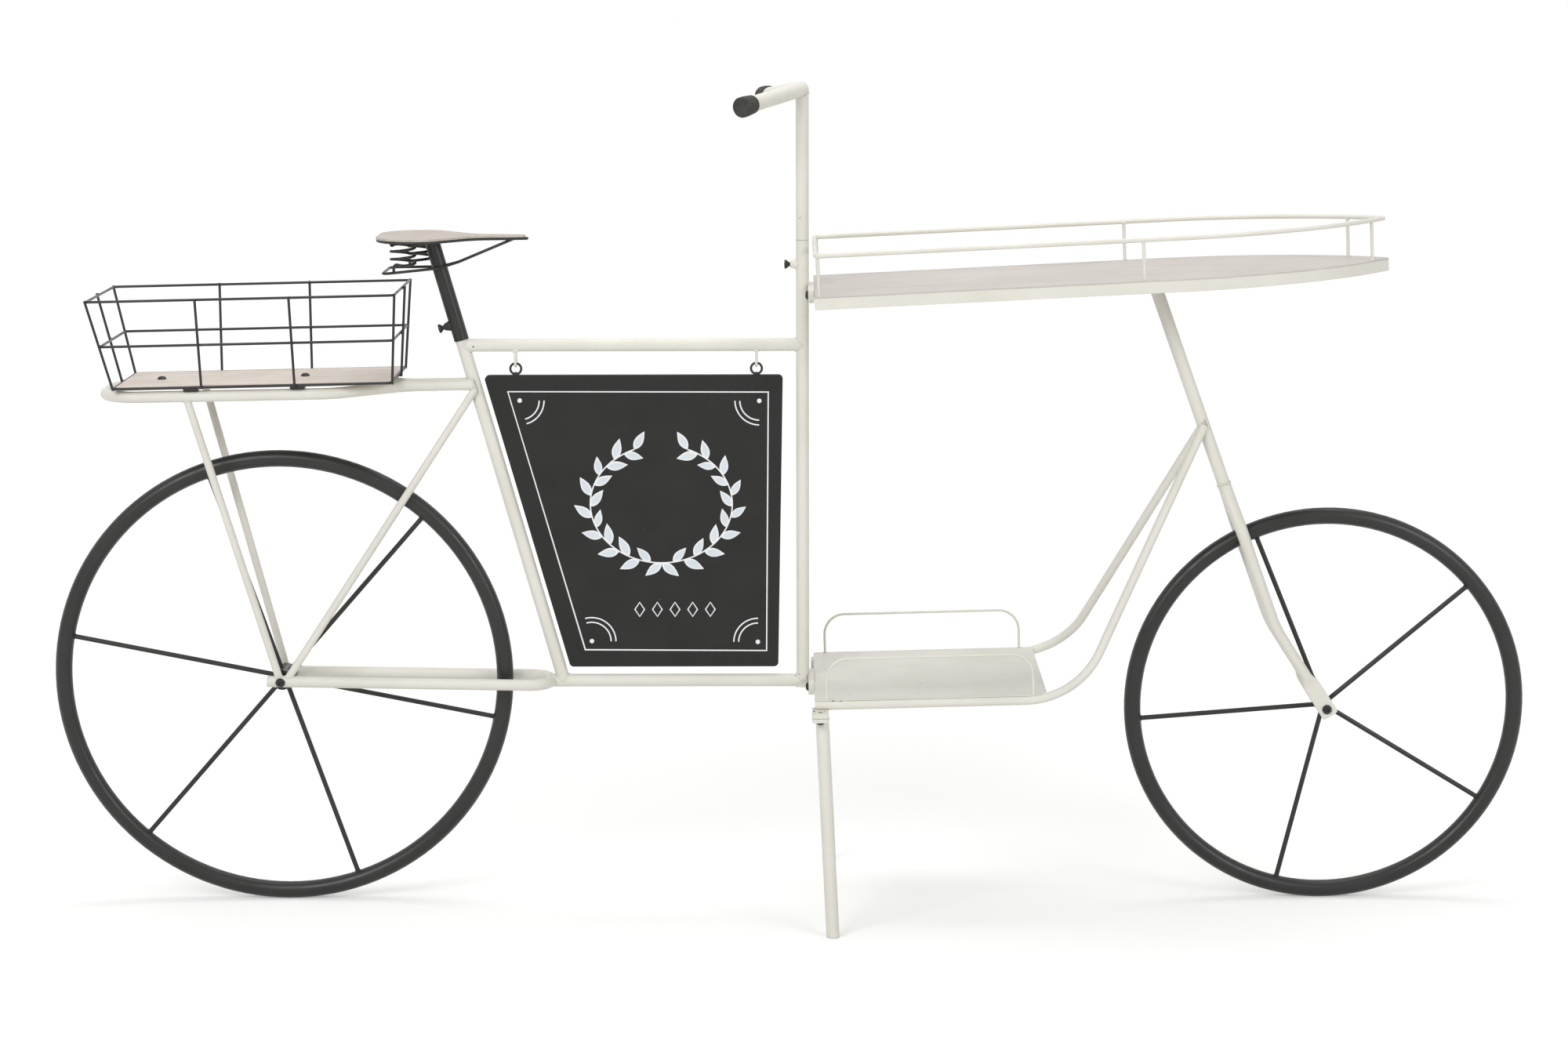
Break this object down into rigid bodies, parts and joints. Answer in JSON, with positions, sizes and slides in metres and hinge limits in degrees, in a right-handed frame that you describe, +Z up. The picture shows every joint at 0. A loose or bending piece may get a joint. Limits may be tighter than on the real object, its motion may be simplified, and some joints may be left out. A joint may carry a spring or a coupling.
{
  "type": "bicycle display stand",
  "caption": "Bicycle-shaped metal display stand with a wire basket, a boat-shaped railed shelf, a low tray, a hanging sign board and splayed legs, for showing plants.",
  "frame": {"origin": "middle of the stand's length and width, on the ground", "axes": "+X the way the bicycle faces, +Y to its left, +Z up"},
  "size_m": [1.8362, 0.3662, 1.025],
  "materials": {
    "cream_paint": "satin powder coat",
    "black_paint": "matt powder coat",
    "limed_wood": "whitewashed, matt",
    "black_rubber": "matt",
    "black_plastic": "matt",
    "bare_steel": "bright"
  },
  "bodies": {
    "frame": {"axle_bolts": "black_paint", "axle_nuts": "black_paint", "basket_base_ring": "black_paint", "basket_floor": "limed_wood", "basket_mid_ring": "black_paint", "basket_rim_ring": "black_paint", "basket_straps": "black_paint", "basket_uprights": "black_paint", "bottom_tube": "cream_paint", "chainstay_loop": "cream_paint", "fork_blade_left": "cream_paint", "fork_blade_right": "cream_paint", "front_flanges": "cream_paint", "front_post": "cream_paint", "leg_left": "cream_paint", "leg_pads": "cream_paint", "leg_plates": "cream_paint", "leg_right": "cream_paint", "post_flanges": "cream_paint", "rack_loop": "cream_paint", "rack_strut_left": "cream_paint", "rack_strut_right": "cream_paint", "seat_stay_left": "cream_paint", "seat_stay_right": "cream_paint", "seat_tube": "cream_paint", "shelf_rail": "cream_paint", "shelf_rail_posts": "cream_paint", "shelf_skirt": "cream_paint", "shelf_top": "cream_paint", "sign_hooks": "cream_paint", "small_bolts": "black_paint", "small_nuts": "black_paint", "steering_column": "cream_paint", "stem_clamp_boss": "cream_paint", "top_tube": "cream_paint", "tray_hoops": "cream_paint", "tray_sheet": "cream_paint", "tray_tube_left": "cream_paint", "tray_tube_right": "cream_paint"},
    "rear_wheel": {"rear_rim": "black_paint", "rear_spokes": "black_paint", "rear_hub": "black_paint"},
    "front_wheel": {"front_rim": "black_paint", "front_spokes": "black_paint", "front_hub": "black_paint"},
    "sign": {"sign_panel": "black_paint", "sign_rings": "black_paint"},
    "stem_insert": {"stem_spigot": "bare_steel"},
    "handlebar": {"stem_tube": "cream_paint", "handlebar": "cream_paint", "bar_cap_right": "black_rubber", "bar_cap_left": "black_rubber"},
    "seat": {"seat_sleeve": "black_paint", "seat_clamp_boss": "black_paint", "saddle_board": "limed_wood", "saddle_frame": "black_paint", "saddle_loop": "black_paint", "saddle_springs": "black_paint"},
    "stem_screw": {"stem_thumb_screw": "black_plastic"},
    "seat_screw": {"seat_thumb_screw": "black_plastic"}
  },
  "joints": [
    {"name": "rear_wheel_spin", "type": "hinge", "parent": "frame", "child": "rear_wheel", "pos_m": [-0.6315, 0, 0.2866], "axis": [0, 1, 0], "continuous": true},
    {"name": "front_wheel_spin", "type": "hinge", "parent": "frame", "child": "front_wheel", "pos_m": [0.6687, 0, 0.2494], "axis": [0, 1, 0], "continuous": true},
    {"name": "sign_swing", "type": "hinge", "parent": "frame", "child": "sign", "pos_m": [-0.19, 0, 0.6807], "axis": [1, 0, 0], "range_deg": [-60, 60]},
    {"name": "stem_slide", "type": "slide", "parent": "frame", "child": "stem_insert", "axis": [0, 0, 1], "range_m": [0, 0.06]},
    {"name": "handlebar_swivel", "type": "hinge", "parent": "stem_insert", "child": "handlebar", "pos_m": [0.0172, 0, 0.9], "axis": [0, 0, 1], "range_deg": [-90, 90]},
    {"name": "seat_slide", "type": "slide", "parent": "frame", "child": "seat", "axis": [-0.2701, 0, 0.9628], "range_m": [0, 0.05]},
    {"name": "stem_screw_turn", "type": "hinge", "parent": "frame", "child": "stem_screw", "pos_m": [0.0092, 0, 0.8024], "axis": [1, 0, 0], "range_deg": [-180, 180]},
    {"name": "seat_screw_turn", "type": "hinge", "parent": "seat", "child": "seat_screw", "pos_m": [-0.41642, 0, 0.7272], "axis": [0.9628, 0, 0.2701], "range_deg": [-180, 180]}
  ]
}
